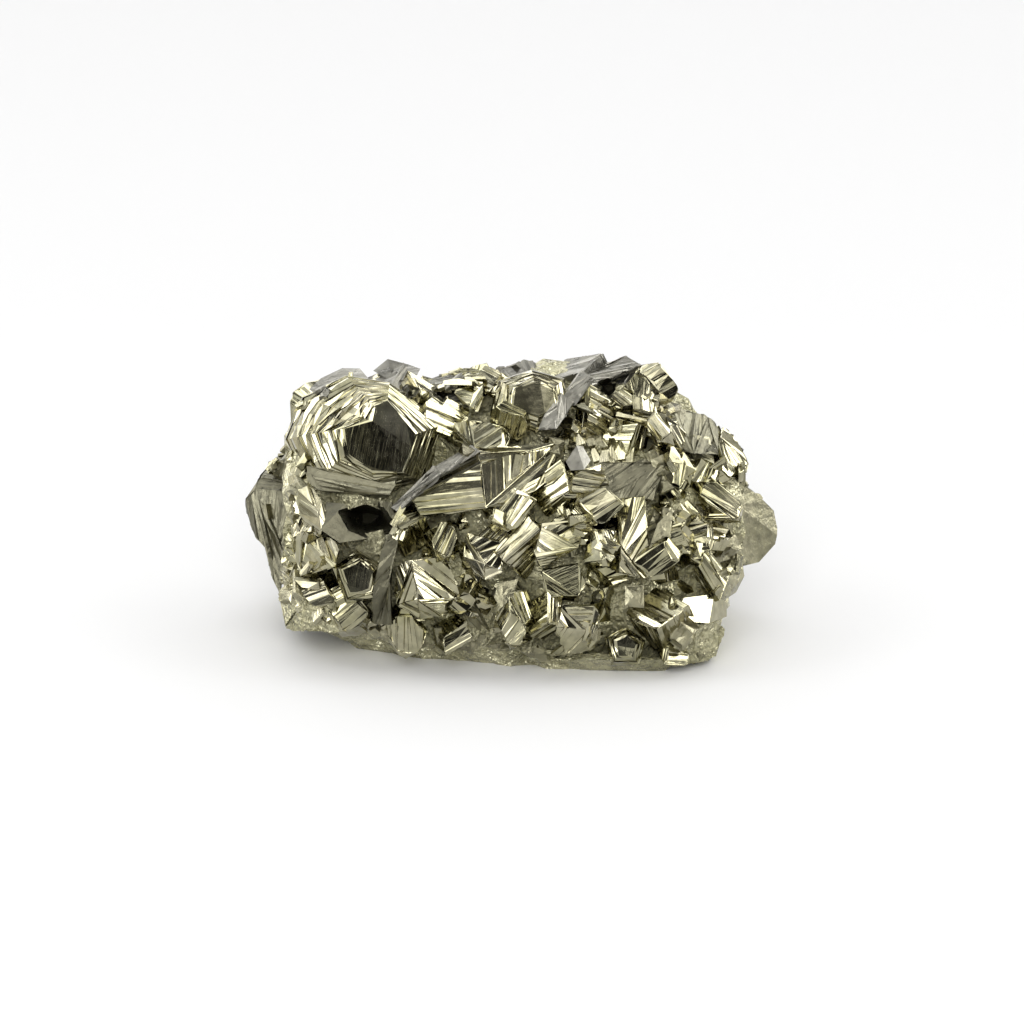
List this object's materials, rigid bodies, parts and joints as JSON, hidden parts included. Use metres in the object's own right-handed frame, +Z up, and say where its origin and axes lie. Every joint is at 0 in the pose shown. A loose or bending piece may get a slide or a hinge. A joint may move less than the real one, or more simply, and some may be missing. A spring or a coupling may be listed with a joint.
{
  "type": "pyrite crystal cluster specimen",
  "caption": "Loose mineral specimen: a grown-together mass of striated pyrite crystals that rests on a flat patch of its underside.",
  "frame": {"origin": "centre of the bounding box's bottom, on the surface the specimen rests on", "axes": "+X along the specimen's length, +Z up, the crystal front towards -Y"},
  "size_m": [0.06, 0.0313, 0.0308],
  "materials": {
    "pyrite": "gloss"
  },
  "bodies": {
    "root": {"pyrite_cluster": "pyrite"}
  },
  "joints": []
}
